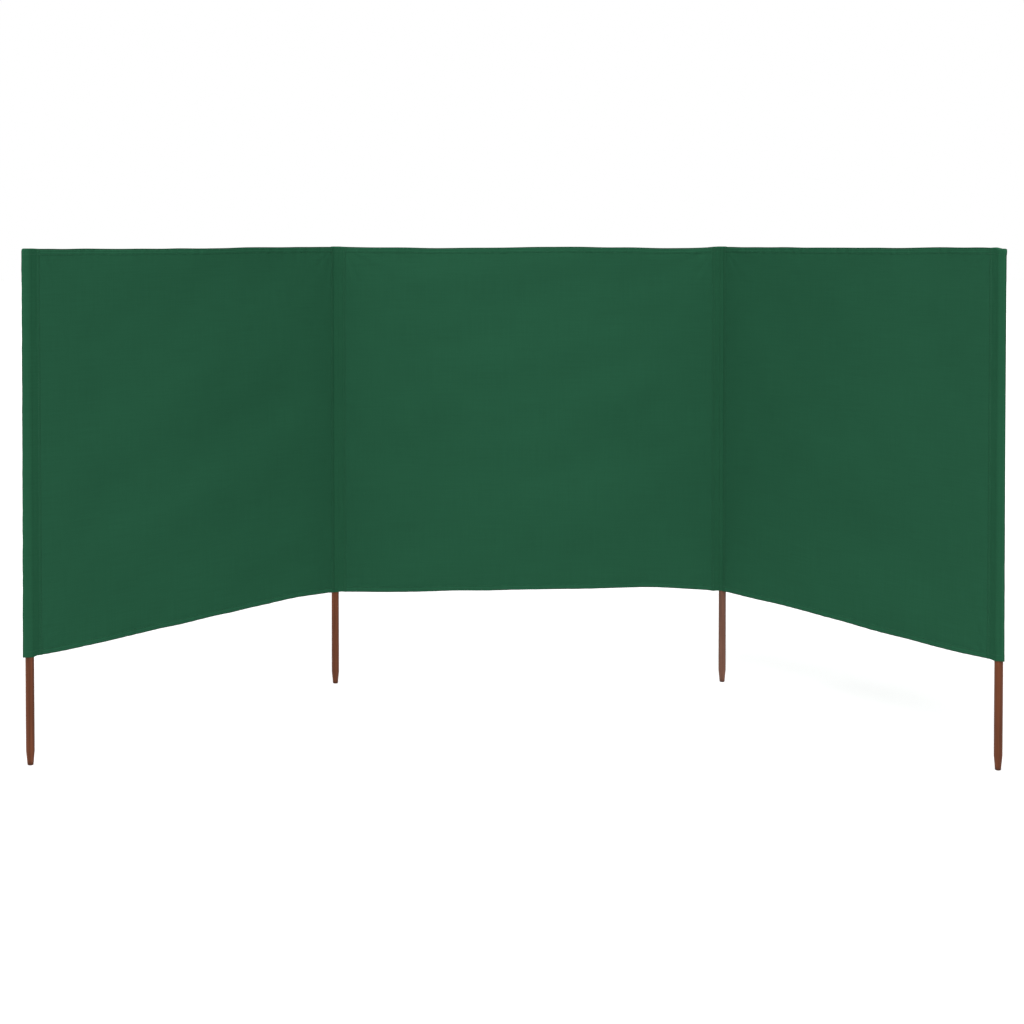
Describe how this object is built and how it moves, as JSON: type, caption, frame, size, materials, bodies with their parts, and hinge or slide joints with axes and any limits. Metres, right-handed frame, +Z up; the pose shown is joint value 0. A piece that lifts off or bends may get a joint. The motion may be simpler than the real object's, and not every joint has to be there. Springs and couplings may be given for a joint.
{
  "type": "beach windbreak",
  "caption": "Cloth windbreak: sewn bays stretched between round wooden stakes, standing in a shallow U, with end wings that swing about the inner stakes.",
  "frame": {"origin": "centre of the flat foot of the inner left stake, where the windbreak is held by the ground", "axes": "+X along the middle bay from the inner left to the inner right stake, -Y towards the sheltered side that the wings come round, +Z up along the stakes"},
  "size_m": [2.8308, 1.1962, 1.5015],
  "materials": {
    "cloth": "plain woven polyester, matt, dark green",
    "hem": "the same cloth folded over and stitched",
    "sleeve": "the same cloth wrapped round the stake and stitched",
    "stake": "turned softwood, stained red-brown, satin"
  },
  "bodies": {
    "middle_bay": {"stake_inner_left": "stake", "stake_inner_right": "stake", "sleeve_inner_left": "sleeve", "sleeve_inner_right": "sleeve", "cloth_middle": "cloth", "hem_top_middle": "hem", "hem_bottom_middle": "hem"},
    "left_wing": {"stake_outer_left": "stake", "sleeve_outer_left": "sleeve", "cloth_left": "cloth", "hem_top_left": "hem", "hem_bottom_left": "hem", "sleeve_margin_left": "sleeve"},
    "right_wing": {"stake_outer_right": "stake", "sleeve_outer_right": "sleeve", "cloth_right": "cloth", "hem_top_right": "hem", "hem_bottom_right": "hem", "sleeve_margin_right": "sleeve"}
  },
  "joints": [
    {"name": "left_wing_swing", "type": "hinge", "parent": "middle_bay", "child": "left_wing", "pos_m": [0, 0, 0.75], "axis": [0, 0, 1], "range_deg": [-167.5, 62.5]},
    {"name": "right_wing_swing", "type": "hinge", "parent": "middle_bay", "child": "right_wing", "pos_m": [1.333, 0, 0.75], "axis": [0, 0, -1], "range_deg": [-175.5, 54.5]}
  ]
}
